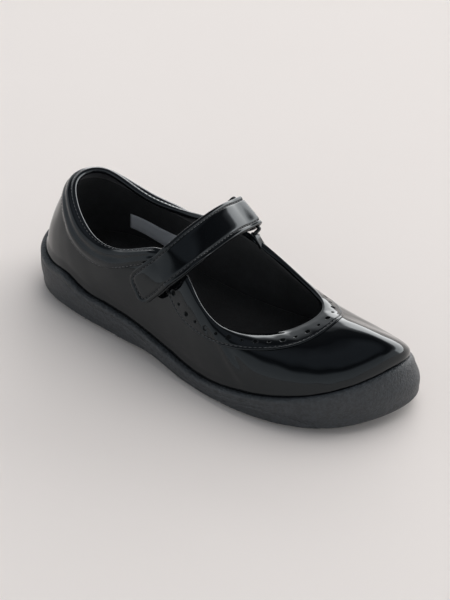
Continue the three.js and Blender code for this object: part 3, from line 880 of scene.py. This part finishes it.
def build_upper():
    u = np.linspace(0, 1, UPPER_AROUND, endpoint=False)
    u = np.unique(np.concatenate([u, np.linspace(-0.05, 0.05, 41) / ROWS % 1]))
    total = drop_table(u)[:, :1]
    share = np.linspace(1, 0, 76)[None]
    outer_q = (total - EDGE + FOOT_DEPTH) * share
    hug = HUG * smooth((outer_q - (total - EDGE - HUG_RUN)) / HUG_RUN)
    outer = wall(u, outer_q, wavy(u, outer_q) + back_seam(u[:, None], outer_q) + hug)
    over = wall(u, np.linspace(0, -HALF_TURN, 11)[1:])
    turned = wall(u, np.array([-HALF_TURN - 0.6 * FOLD_DOWN, -HALF_TURN - FOLD_DOWN]))
    back_q = np.linspace(0, 1, 20)[None] * (total - EDGE + FOOT_DEPTH - 1) + 1
    under = wall(u, back_q, -LEATHER)
    section = np.concatenate([outer, over, turned, under], 1)
    piece = ring_shell("upper_leather", section, PATENT, "patent_leather")
    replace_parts(piece, "upper")
    for side in (-1, 1):
        q = np.linspace(STITCHED_FROM, STITCHED_TO, 60)
        at = np.array([side * SEAM_EDGE / HEEL_ROW / ROWS])
        line = wall(at, q)[0]
        stitches(f"back_seam_{'outer' if side < 0 else 'inner'}", line, wall_normals(at, q)[0],
                 THREAD, "patent_leather")


LINING_AROUND = 420
LINING_TOP = 1.9             # the lining starts this far below the topline, behind the fold
PAD_LOW = 8.6                # lower edge of the padded band inside the collar
PAD_FROM, PAD_TO, PAD_FADE = -3.9, 3.8, 0.5      # its ends, in rows from the heel
LINING_FINE = 9.2            # the profile ends this far down
LINING_FINE_STEPS = 34
LINING_PROFILE = (   # down from the topline, stands off the face (collar), (throat)
    (LINING_TOP, -0.50, -0.50),
    (2.4, 0.10, 0.02),
    (3.2, 0.45, 0.10),
    (4.5, 0.75, 0.12),
    (6.2, 0.75, 0.12),
    (7.6, 0.45, 0.10),
    (PAD_LOW, 0.00, 0.00),
    (LINING_FINE, 0.12, 0.10),
)


def in_collar(u):
    """1 along the padded collar, 0 along the throat."""
    row = from_heel(u)
    return smooth((row - PAD_FROM) / PAD_FADE) * smooth((PAD_TO - row) / PAD_FADE)


def build_lining():
    u = np.linspace(0, 1, LINING_AROUND, endpoint=False)
    total = drop_table(u)[:, :1]
    drops, collar, throat = (np.array(column) for column in zip(*LINING_PROFILE))
    fine = np.linspace(LINING_TOP, LINING_FINE, LINING_FINE_STEPS)
    height = (in_collar(u)[:, None] * np.interp(fine, drops, collar)
              + (1 - in_collar(u)[:, None]) * np.interp(fine, drops, throat))
    inner_top = wall(u, -HALF_TURN - fine + EDGE, height)
    depth = rim_z(u) - floor_z(LAST_LOOP["rim_x"](u)) - GAP - 0.5
    share = np.linspace(0, 1, 44)[1:][None]
    down = LINING_FINE + (total + depth[:, None] - LINING_FINE) * share
    soft = 0.12 * np.sin(u[:, None] * 2 * np.pi * 9 + down * 0.21) * share + 0.10
    inner = wall(u, -HALF_TURN - down + EDGE, soft)
    outer_q = np.linspace(1, 0, 16)[None] * (total - EDGE + FOOT_DEPTH) * 0.999 + 0.9
    outer = wall(u, outer_q, -LEATHER - 0.08)
    section = np.concatenate([inner_top, inner, outer], 1)
    marks = np.zeros(section.shape[:2])
    marks[:, :LINING_FINE_STEPS] = (fine < PAD_LOW) * in_collar(u)[:, None]
    ring_shell("lining", section, LINING, "insole_lining", {"band": marks})


# ---------------------------------------------------------------- overlays
GROOVE_SHADE = 0.8                                # painted shade: how dark and dull a stitch groove is painted
OVER_Q = np.linspace(0, -HALF_TURN, 13)[1:]      # over the topline's rounding
DOWN_STEPS = (0.5, 1.2, 1.8)                     # and then down inside, to the overlay's end
UNDER_LIFT = 0.02                                # an overlay's back stands off the face


def overlay(name, u, outer, over_height, fold, down_height, back, material, slot, marks=None):
    """Closed solid over the topline: its outer face is given, and the rest runs over the edge,
    down inside to fold, and back underneath. back is q on the way over the edge and down."""
    down_q = -HALF_TURN - np.array([*DOWN_STEPS, fold])
    over = wall(u, OVER_Q, over_height)
    inside = wall(u, down_q, down_height)
    under = [wall(u, q, UNDER_LIFT) for q in back]
    section = np.concatenate([outer, over, inside, *under], 1)
    if section.shape[1] % 2:
        section = section[:, :-1]
    # the marks carry painted shade: holes and stitch grooves painted near black and dull
    layers = {}
    if marks is not None:
        layers["painted_shade"] = np.zeros(section.shape[:2])
        layers["painted_shade"][:, :marks.shape[1]] = marks
    return bar_shell(name, section, material, slot, layers)


# ---------------------------------------------------------------- collar
COLLAR_FROM, COLLAR_TO = -3.35, 3.95
UNDER_STRAP, UNDER_SHARE = 3.60, 0.25        # it thins out from here, under the strap
COLLAR_PROFILE = (   # share of the way from the topline's rounding to the seam, height
    (0.00, 0.60),
    (0.05, 0.52),
    (0.10, 0.62),
    (0.17, 1.15),
    (0.28, 1.50),
    (0.38, 1.32),
    (0.46, 0.98),
    (0.53, 1.00),
    (0.66, 1.28),
    (0.80, 1.05),
    (0.92, 0.55),
    (0.985, 0.26),
    (1.00, 0.02),
)
COLLAR_FOLD = 2.4            # turned down this far inside


def build_collar():
    u = rows_u(COLLAR_FROM, COLLAR_TO, 360)
    row = u * ROWS
    depth = open_curve(*zip(*COLLAR))(row)[:, None] - EDGE
    share = np.linspace(1, 0, 64)[None]
    profile = open_curve(*zip(*COLLAR_PROFILE))
    ends = smooth(np.minimum(row - COLLAR_FROM, COLLAR_TO - row) / 0.30)[:, None] ** 0.5
    ends = ends * (1 - (1 - UNDER_SHARE) * smooth((row - UNDER_STRAP) / 0.22))[:, None]
    q = depth * share
    height = 0.05 + ends * np.maximum(0, profile(share) + 0 * q)
    piece = overlay(
        "collar_padding", u, wall(u, q, height + wavy(u, q) * 1.3),
        0.05 + ends * (0.60 - 0.20 * smooth(-OVER_Q / HALF_TURN)),
        COLLAR_FOLD, 0.05 + ends * np.array([0.42, 0.40, 0.30, 0.0]),
        (np.linspace(-HALF_TURN - COLLAR_FOLD + 0.3, 0, 14),
         depth * np.linspace(0, 0.99, 67)[None][:, 1:]),
        COLLAR_PATENT, "collar_leather")
    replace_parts(piece, "collar_panel")
    open_part = row < UNDER_STRAP + 0.1
    seen = u[open_part]
    along(seen, depth[open_part, 0] * 0.93, 0.58, "collar_seam", "collar_leather")
    along(seen, depth[open_part, 0] * 0.05, 0.60, "collar_bead", "collar_leather")


def along(u, q, height, name, slot, pitch=STITCH_PITCH):
    """Stitches at depth q below the edge's rounding, one q for each u."""
    line = wall_line(u, q, height)
    return stitches(name, line, wall_normals(u, q[:, None])[:, 0], THREAD, slot, pitch)


# ---------------------------------------------------------------- throat band
BAND_FROM, BAND_TO, BAND_COLUMNS = 4.10, 12.80, 470
RUN_AT = 40                              # its length is measured along this line of points
BAND_EDGE, BAND_OFF = 0.6, 0.04          # rounding of its edge; it stands this far off the face
BAND_FOLD, BAND_BACK = 2.3, 2.0          # turned down inside: its face, its back
HOLE_RISE, HOLE_PITCH = 5.6, 6.4         # holes this far above the seam, this far apart
BIG_HOLE, SMALL_HOLE, HOLE_DEEP = 1.05, 0.6, 0.50
HOLE_MARGIN = 9.0                        # none nearer to the band's ends
SEAM_IN, BAND_GROOVE = 1.6, 0.22         # stitches this far inside the band's edge, in a groove


def build_band():
    u = rows_u(BAND_FROM, BAND_TO, BAND_COLUMNS)
    width = open_curve(*zip(*BAND))(u * ROWS)[:, None] - EDGE
    q = width * np.linspace(1, 0, 84)[None]
    surface = wall(u, q)
    run = run_along(surface[:, RUN_AT])
    from_end = np.minimum(run, run[-1] - run)[:, None]
    inside = np.minimum(width - q, from_end)
    lift = TOP_LIFT + (BAND_LIFT - TOP_LIFT) * smooth(q / 4)
    height = lift * rounded(inside, BAND_EDGE) - BAND_GROOVE * bell(inside - SEAM_IN, 0.4)
    hole_q = width[:, 0] - HOLE_RISE
    centre_line = wall_line(u, hole_q)
    length = run_along(centre_line)
    # Painted shade: the seam's groove is marked to be painted near black and dull.
    marks = GROOVE_SHADE * bell(inside - SEAM_IN, 0.35) * (q > 3)
    for k, at in enumerate(np.arange(HOLE_MARGIN, length[-1] - HOLE_MARGIN, HOLE_PITCH)):
        centre = np.array([np.interp(at, length, centre_line[:, c]) for c in range(3)])
        radius = BIG_HOLE if k % 2 == 0 else SMALL_HOLE
        away = np.linalg.norm(surface - centre, axis=2)
        cut = smooth((radius + 0.15 - away) / 0.30)
        height = height - HOLE_DEEP * cut
        # painted shade in and just round each hole
        marks = np.maximum(marks, smooth((radius + 0.35 - away) / 0.2))
    tall = TOP_LIFT * rounded(from_end, BAND_EDGE)
    overlay(
        "throat_band", u, wall(u, q, BAND_OFF + height + wavy(u, q)),
        BAND_OFF + tall * (1 - 0.4 * smooth(-OVER_Q / HALF_TURN)),
        BAND_FOLD, BAND_OFF + tall * np.array([0.6, 0.6, 0.4, 0.0]),
        (np.linspace(-HALF_TURN - BAND_BACK, 0, 24),
         width * np.linspace(0, 0.995, 77)[None][:, 1:]),
        BAND_PATENT, "patent_leather", marks)
    inner = slice(6, -6)
    along(u[inner], width[inner, 0] - SEAM_IN, BAND_LIFT - 0.12, "band_seam", "patent_leather")


# ---------------------------------------------------------------- strap
STRAP_EDGE = 0.7             # rounding of its cut edges
STRAP_SEAM, STRAP_PITCH = 2.1, 2.1           # stitch groove this far inside the edge; its pitch
STRAP_GROOVE, STRAP_GROOVE_WIDE, STRAP_CROWN = 0.50, 0.50, 0.10
STRAP_GROOVE_SHADE = 0.85            # painted shade: how dark and dull its groove is painted
UNDER_END = 0.1              # the lower layer ends a little earlier
FAR_OFF = 99.0               # stands for a distance that sets no limit
STRAP_POINTS = np.array([row[1:4] for row in STRAP], float)
STRAP_ROLLS = np.radians([row[4] for row in STRAP])


def strap_middle(t):
    """Centripetal Catmull-Rom curve through the strap's points, t from 0 to 1."""
    p = np.vstack([2 * STRAP_POINTS[0] - STRAP_POINTS[1], STRAP_POINTS,
                   2 * STRAP_POINTS[-1] - STRAP_POINTS[-2]])
    place = np.clip(np.asarray(t, float), 0, 1) * (len(STRAP_POINTS) - 1)
    i = np.minimum(place.astype(int), len(STRAP_POINTS) - 2)
    f = (place - i)[..., None]
    a, b, c, d = (p[i + k] for k in range(4))
    ab, bc, cd = (np.linalg.norm(y - x, axis=-1, keepdims=True) ** 0.5
                  for x, y in ((a, b), (b, c), (c, d)))
    start = ((b - a) / ab - (c - a) / (ab + bc) + (c - b) / bc) * bc
    end = ((c - b) / bc - (d - b) / (bc + cd) + (d - c) / cd) * bc
    return (b + start * f + (-3 * b + 3 * c - 2 * start - end) * f**2
            + (2 * b - 2 * c + start + end) * f**3)


STRAP_LENGTH = np.linalg.norm(np.diff(strap_middle(np.linspace(0, 1, 201)), axis=0), axis=1).sum()


def strap_frame(t):
    """Middle, along, across and normal of the double strap."""
    t = np.asarray(t, float)
    step = 0.0005
    ahead = unit(strap_middle(np.minimum(1, t + step)) - strap_middle(np.maximum(0, t - step)))
    place = t * (len(STRAP) - 1)
    i = np.minimum(place.astype(int), len(STRAP) - 2)
    roll = STRAP_ROLLS[i] + (STRAP_ROLLS[i + 1] - STRAP_ROLLS[i]) * smooth(place - i)
    across = unit(np.array((1.0, 0.0, 0.0)) - ahead * ahead[..., :1])
    roll = roll[..., None]
    across = across * np.cos(roll) + np.cross(ahead, across) * np.sin(roll)
    return strap_middle(t), ahead, across, unit(np.cross(across, ahead))


def layer_offset(t):
    shut, opened = (STRAP_THICK + GAP) / 2, (STRAP_THICK + FOLD_BORE) / 2
    return shut + (opened - shut) * smooth(1 - (1 - t) * STRAP_LENGTH / FOLD_OPENS)


def half_width(distance):
    dip = np.maximum(0, STRAP_CORNER - distance)
    return STRAP_WIDTH / 2 - STRAP_CORNER + np.sqrt(STRAP_CORNER**2 - np.minimum(dip, STRAP_CORNER)**2)


def strap_edge_distance(a, y):
    """Distance in from the strap's outline, a from its rounded end and y off its middle."""
    side = STRAP_WIDTH / 2 - y
    da, dy = STRAP_CORNER - a, STRAP_CORNER - side
    corner = STRAP_CORNER - np.hypot(np.maximum(0, da), np.maximum(0, dy))
    return np.where((da > 0) & (dy > 0), corner, np.minimum(side, a))


def strap_sections():
    """Sections from the rounded end, over the top, round the fold and back underneath: middle,
    across, normal, distance from the rounded end, distance from the hidden end, and how much
    of the outer side's crown and groove each has."""
    end_t = STRAP_CORNER / STRAP_LENGTH
    top_t = np.concatenate([end_t * (1 - np.cos(np.linspace(0, np.pi / 2, 24))),
                            np.linspace(end_t, 1, 200)[1:]])
    centre, _, across, normal = strap_frame(top_t)
    centre = centre + normal * layer_offset(top_t)[:, None]
    tip = strap_frame(np.array(1.0))
    turn = np.linspace(0, np.pi, 26)[1:-1, None]
    around = tip[3] * np.cos(turn) + tip[1] * np.sin(turn)
    low_t = np.linspace(1, UNDER_END, 150)
    low = strap_frame(low_t)
    low_centre = low[0] - low[3] * layer_offset(low_t)[:, None]
    centres = np.vstack([centre, tip[0] + around * layer_offset(1.0), low_centre])
    acrosses = np.vstack([across, np.broadcast_to(tip[2], around.shape), low[2]])
    normals = np.vstack([normal, around, -low[3]])
    distance = np.concatenate([top_t * STRAP_LENGTH, np.full(len(around) + len(low_t), FAR_OFF)])
    end_gap = np.concatenate([np.full(len(top_t) + len(around), FAR_OFF),
                              (low_t - UNDER_END) * STRAP_LENGTH])
    outer_side = np.concatenate([np.ones(len(top_t)), 1 - 0.6 * turn[:, 0] / np.pi,
                                 np.zeros(len(low_t))])
    return centres, acrosses, normals, distance, end_gap, outer_side


def build_strap():
    centres, acrosses, normals, distance, end_gap, outer_side = strap_sections()
    s = np.sin(np.linspace(-np.pi / 2, np.pi / 2, 57))
    y = half_width(distance)[:, None] * s
    inside = np.minimum(strap_edge_distance(distance[:, None], np.abs(y)), end_gap[:, None])
    inside = np.maximum(inside, 0)
    inside[:, 0] = 0
    inside[:, -1] = 0
    rounding = STRAP_EDGE - np.sqrt(STRAP_EDGE**2 - np.maximum(0, STRAP_EDGE - inside) ** 2)
    groove = STRAP_GROOVE * bell(inside - STRAP_SEAM, STRAP_GROOVE_WIDE)
    crown = STRAP_CROWN * smooth((inside - STRAP_SEAM) / 2.5)
    face = STRAP_THICK / 2 - rounding + (crown - groove) * outer_side[:, None]
    back = -STRAP_THICK / 2 + rounding
    across_part = centres[:, None] + acrosses[:, None] * y[..., None]
    top = across_part + normals[:, None] * face[..., None]
    bottom = across_part + normals[:, None] * back[..., None]
    section = np.concatenate([top, bottom[:, ::-1]], 1)
    # painted shade in the stitch groove, on the outer side only
    dark = STRAP_GROOVE_SHADE * bell(inside - STRAP_SEAM, 0.42) * (outer_side[:, None] > 0.3)
    marks = np.concatenate([dark, 0 * dark], 1)
    piece = bar_shell("strap_leather", section, STRAP_PATENT, "strap_leather", {"painted_shade": marks})
    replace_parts(piece, "strap")
    build_strap_seam()


def build_strap_seam():
    """Stitches in the groove: down one edge, round the free end and up the other."""
    side = STRAP_WIDTH / 2 - STRAP_SEAM
    radius = STRAP_CORNER - STRAP_SEAM
    down = np.linspace(STRAP_LENGTH - 1, STRAP_CORNER, 120)
    turn = quarter_turn(15)
    corner_a = STRAP_CORNER - radius * np.sin(turn)
    corner_y = -side + radius * (1 - np.cos(turn))
    a = np.concatenate([down, corner_a])
    y = np.concatenate([np.full(len(down), -side), corner_y])
    a = np.concatenate([a, a[::-1]])
    y = np.concatenate([y, -y[::-1]])
    centre, _, across, normal = strap_frame(a / STRAP_LENGTH)
    height = layer_offset(a / STRAP_LENGTH) + STRAP_THICK / 2 - STRAP_GROOVE + 0.14
    line = centre + across * y[:, None] + normal * height[:, None]
    stitches("strap_seam", line, normal, THREAD, "strap_leather", STRAP_PITCH)


# ---------------------------------------------------------------- keeper
KEEPER_THICK, KEEPER_WIDTH, KEEPER_BAR = 1.6, 4.5, 1.4
KEEPER_DROP, KEEPER_BEND = 4.2, 1.2
KEEPER_SIDE_CLEAR = 0.4
KEEPER_ROWS = ((-1, 13.4), (1, 12.46))       # rear and front leg
KEEPER_CLEAR, KEEPER_SINK = 2.2, 3.0
KEEPER_SQUARE = 0.45         # 1 is an oval section, nearer 0 a square one


def build_keeper():
    tip, ahead, across, normal = strap_frame(np.array(1.0))
    reach = STRAP_WIDTH / 2 + GAP + KEEPER_THICK / 2 + KEEPER_SIDE_CLEAR
    path, widths = [], []
    for side, row in KEEPER_ROWS:
        u = np.array([row / ROWS])
        foot = upper_point(u, 1.0)[0] - outward(u)[0] * WALL / 2
        sunk = wall(u, np.array([KEEPER_SINK]), -WALL / 2)[0, 0]
        corner = tip + across * side * reach
        inside = corner - across * side * KEEPER_BEND
        leg = [sunk, foot + UP * KEEPER_CLEAR, corner - normal * KEEPER_DROP, corner, inside]
        path += leg if side < 0 else leg[::-1]
        wide = [KEEPER_WIDTH, KEEPER_WIDTH, KEEPER_WIDTH, KEEPER_BAR, KEEPER_BAR]
        widths += wide if side < 0 else wide[::-1]
    path, widths = np.array(path), np.array(widths, float)
    line = np.column_stack([path, widths])
    for _ in range(3):      # rounds the corners
        cut = np.stack([0.82 * line[:-1] + 0.18 * line[1:], 0.18 * line[:-1] + 0.82 * line[1:]], 1)
        line = np.vstack([line[:1], cut.reshape(-1, 4), line[-1:]])
    along_line = unit(np.gradient(line[:, :3], axis=0))
    flat = unit(ahead - along_line * (along_line @ ahead)[:, None])
    out = np.cross(flat, along_line)
    turn = np.linspace(0, 2 * np.pi, 24, endpoint=False)
    c, s = np.cos(turn), np.sin(turn)
    y = np.sign(c) * np.abs(c) ** KEEPER_SQUARE * line[:, 3:] / 2
    z = np.sign(s) * np.abs(s) ** KEEPER_SQUARE * KEEPER_THICK / 2 + 0 * y
    section = line[:, None, :3] + flat[:, None] * y[..., None] + out[:, None] * z[..., None]
    piece = bar_shell("keeper_loop", section, KEEPER_PATENT, "keeper_leather")
    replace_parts(piece, "strap_keeper")


# ---------------------------------------------------------------- label
LABEL_CORNERS = (   # row, down from the topline: front top, back top, front bottom, back bottom
    (14.30, 21.5), (15.38, 26.4), (14.30, 30.8), (15.38, 34.8))
LABEL_THICK, LABEL_ROUND = 0.35, 0.5
LABEL_LONG, LABEL_HIGH = 30, 9       # about its size, to round its edge


def build_label():
    corners = np.array(LABEL_CORNERS)
    t, s = np.meshgrid(np.linspace(0, 1, 40), np.linspace(0, 1, 16), indexing="ij")
    place = sum(w[..., None] * c for w, c in zip(
        ((1 - t) * (1 - s), t * (1 - s), (1 - t) * s, t * s), corners))
    inside = np.minimum(np.minimum(t, 1 - t) * LABEL_LONG, np.minimum(s, 1 - s) * LABEL_HIGH)
    height = LABEL_THICK * rounded(inside, LABEL_ROUND)
    face = wall_line(place[..., 0].ravel() / ROWS, EDGE - HALF_TURN - place[..., 1].ravel())
    face = face.reshape(*t.shape, 3)
    normal = unit(np.cross(np.gradient(face, axis=0), np.gradient(face, axis=1)))
    if (normal[0, 0] @ np.array((0.0, -1.0, 0.0))) < 0:
        normal = -normal
    top = face + normal * (0.25 + height)[..., None]
    bottom = face + normal * 0.15
    section = np.concatenate([top, bottom[:, ::-1]], 1)
    bar_shell("blank_label", section, LABEL, "insole_lining")


# ---------------------------------------------------------------- studio
def add_floor():
    bpy.ops.mesh.primitive_plane_add(size=6)
    floor = bpy.context.object
    floor.name = "floor"
    shade = Shade("floor_paper")
    colour = shade.ramp(shade.noise(3, 3), (0.3, (0.795, 0.745, 0.715)), (0.7, (0.815, 0.765, 0.735)))
    shade.bump(shade.noise(900, 3), 0.03, 0.1)
    floor.data.materials.append(shade.set(Base_Color=colour, Roughness=0.9))


LIGHTS = (   # name, azimuth from +X, elevation, distance, width, height, watts, colour
    ("key softbox", 84, 64, 2.0, 2.4, 2.0, 28, (1.0, 0.985, 0.97)),
)

# The room the lacquer mirrors: brightness of its walls by height (sine of the elevation).
FAR_WALL = ((0.0, (0.90, 0.92, 0.94)), (0.50, (0.84, 0.86, 0.88)),
            (0.62, (0.07, 0.075, 0.08)), (0.78, (0.04, 0.044, 0.05)), (0.92, (0.22, 0.24, 0.27)))
NEAR_WALL = ((0.0, (0.80, 0.82, 0.84)), (0.60, (0.56, 0.59, 0.62)),
             (0.74, (0.08, 0.09, 0.10)), (0.84, (0.05, 0.055, 0.06)), (0.94, (0.22, 0.24, 0.27)))
WINDOW = ((0.0, (4.2, 4.2, 4.2)), (0.42, (4.0, 4.0, 4.0)),
          (0.50, (0.62, 0.64, 0.66)), (0.60, (0.07, 0.075, 0.08)), (0.90, (0.10, 0.11, 0.12)))
FAR_FROM, FAR_TO = 0.02, 0.25            # sine of the bearing where the far wall takes over
WINDOW_FROM, WINDOW_TO = 0.64, 0.72      # and where the window does


def add_room():
    world = bpy.data.worlds.new("room")
    world.use_nodes = True
    room = Tree(world.node_tree)
    place = room.nodes.new("ShaderNodeTexCoord")
    split = room.nodes.new("ShaderNodeSeparateXYZ")
    room.links.new(place.outputs["Generated"], split.inputs["Vector"])
    high, bearing = split.outputs["Z"], split.outputs["Y"]
    is_far = room.ramp(bearing, (FAR_FROM, grey(0)), (FAR_TO, grey(1)))
    is_window = room.ramp(bearing, (WINDOW_FROM, grey(0)), (WINDOW_TO, grey(1)))
    walls = room.mix(is_far, room.ramp(high, *NEAR_WALL), room.ramp(high, *FAR_WALL))
    walls = room.mix(is_window, walls, room.ramp(high, *WINDOW))
    room.links.new(walls, room.nodes["Background"].inputs["Color"])
    bpy.context.scene.world = world


def add_lamps():
    for name, azimuth, elevation, distance, width, height, watts, colour in LIGHTS:
        data = bpy.data.lights.new(name, "AREA")
        data.shape = "RECTANGLE"
        data.size, data.size_y = width, height
        data.energy = watts
        data.color = colour
        a, e = math.radians(azimuth), math.radians(elevation)
        way = Vector((math.cos(a) * math.cos(e), math.sin(a) * math.cos(e), math.sin(e)))
        lamp = bpy.data.objects.new(name, data)
        lamp.location = way * distance
        lamp.rotation_euler = (-way).to_track_quat("-Z", "Y").to_euler()
        lamp.visible_glossy = False
        bpy.context.scene.collection.objects.link(lamp)


add_camera()
add_floor()
add_room()
add_lamps()
bpy.context.scene.view_settings.view_transform = "Standard"
build_sole()
build_insole()
build_upper()
build_lining()
build_collar()
build_band()
build_strap()
build_keeper()
build_label()
